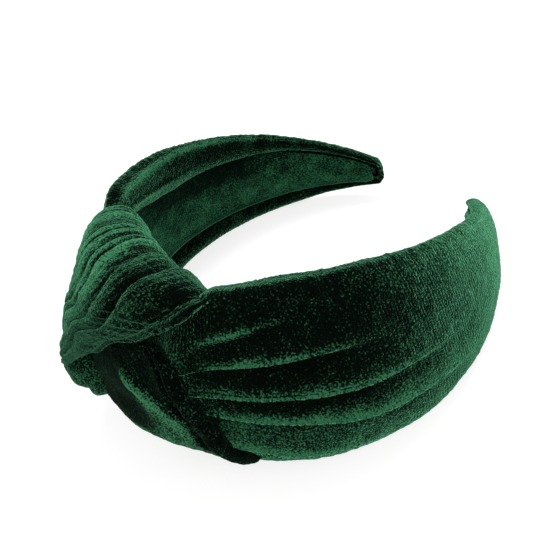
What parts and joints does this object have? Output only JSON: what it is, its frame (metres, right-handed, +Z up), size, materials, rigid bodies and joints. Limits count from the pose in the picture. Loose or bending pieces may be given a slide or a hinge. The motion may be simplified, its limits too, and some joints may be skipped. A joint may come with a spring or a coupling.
{
  "type": "knotted headband",
  "caption": "Wide velvet headband with a twisted knot over the crown and pleats running out to slim tips; springy arms open to go over a head and grip behind the ears.",
  "frame": {"origin": "middle of the headband's box, on the surface that it lies on", "axes": "+Z up, across the band's width; the knot is towards -Y and the two tips towards +Y; +X is the right arm"},
  "size_m": [0.1652, 0.1754, 0.0749],
  "materials": {
    "velvet": "deep green crushed velvet, dark face and bright grazing sheen",
    "lining_velvet": "flat green velvet strip, fine sparkle",
    "hoop_plastic": "satin moulded",
    "sponge": "open-cell foam, matt",
    "thread": "polyester sewing thread"
  },
  "bodies": {
    "crown": {"hoop_crown": "hoop_plastic", "lining_crown": "lining_velvet", "gather_left": "velvet", "gather_right": "velvet", "knot_wrap": "velvet", "knot_strap": "velvet", "knot_loop_upper": "velvet", "knot_loop_lower": "velvet", "knot_tack": "thread"},
    "arm_left": {"hoop_arm_left": "hoop_plastic", "sponge_left": "sponge", "cover_left": "velvet", "lining_left": "lining_velvet", "tip_fold_left": "velvet"},
    "arm_right": {"hoop_arm_right": "hoop_plastic", "sponge_right": "sponge", "cover_right": "velvet", "lining_right": "lining_velvet", "tip_fold_right": "velvet"}
  },
  "joints": [
    {"name": "arm_left_flex", "type": "hinge", "parent": "crown", "child": "arm_left", "pos_m": [-0.05592, -0.03813, 0.0337], "axis": [0, 0, 1], "range_deg": [-3, 8], "stiffness_Nm_per_rad": 1.3},
    {"name": "arm_right_flex", "type": "hinge", "parent": "crown", "child": "arm_right", "pos_m": [0.05592, -0.03813, 0.0337], "axis": [0, 0, -1], "range_deg": [-3, 8], "stiffness_Nm_per_rad": 1.3}
  ]
}
